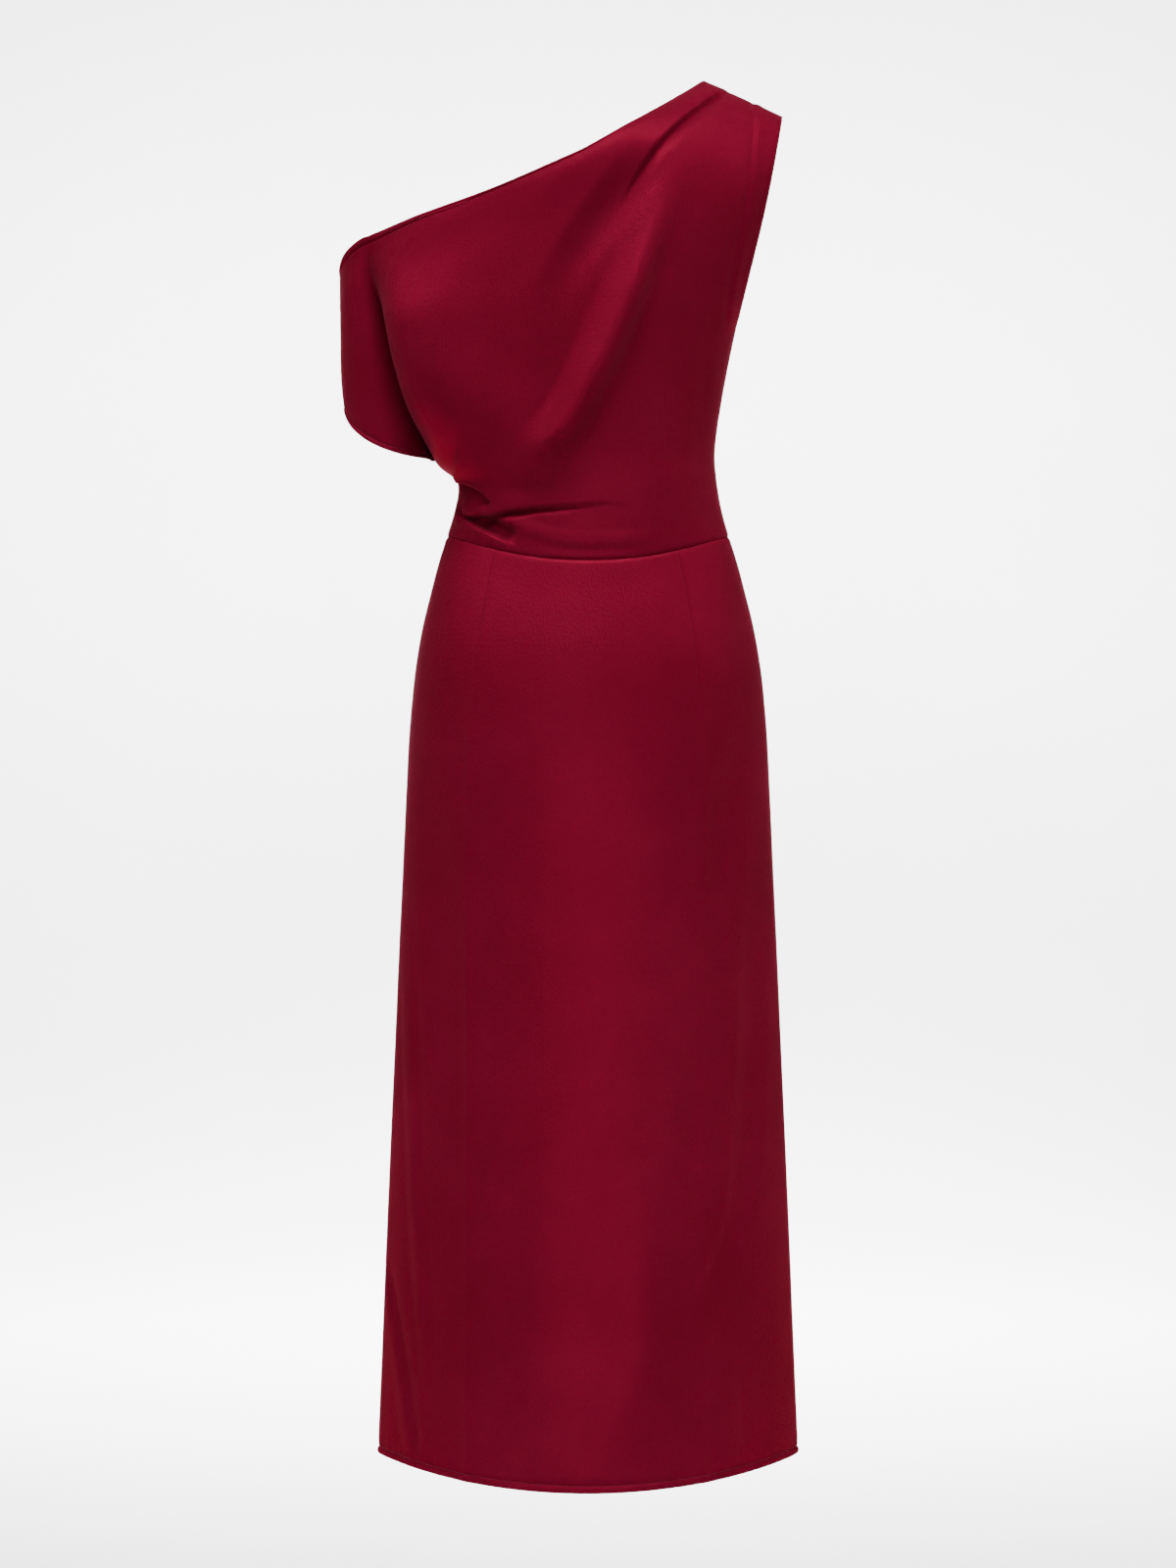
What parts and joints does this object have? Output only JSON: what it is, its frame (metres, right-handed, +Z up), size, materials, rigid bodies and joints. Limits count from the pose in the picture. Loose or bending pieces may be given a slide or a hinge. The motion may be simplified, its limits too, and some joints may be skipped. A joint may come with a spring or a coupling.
{
  "type": "one-shoulder dress",
  "caption": "One-shoulder midi dress in satin with a draped bodice, one short grown-on sleeve off the shoulder, a waist seam, darts and a long plain skirt, hollow as worn.",
  "frame": {"origin": "under the middle of the shoulder seam, where the wearer's shoulder holds the dress up", "axes": "+Z up; the back of the dress faces -Y and its front +Y; the covered shoulder is at +X and the bare one at -X"},
  "size_m": [0.405, 0.27, 1.224],
  "materials": {
    "satin": "soft satin sheen"
  },
  "bodies": {
    "root": {"bodice_back": "satin", "bodice_front": "satin", "skirt_back": "satin", "skirt_front": "satin", "neck_hem_back": "satin", "neck_hem_front": "satin", "armhole_facing_back": "satin", "armhole_facing_front": "satin", "sleeve_hem_back": "satin", "sleeve_hem_front": "satin", "skirt_hem_back": "satin", "skirt_hem_front": "satin"}
  },
  "joints": []
}
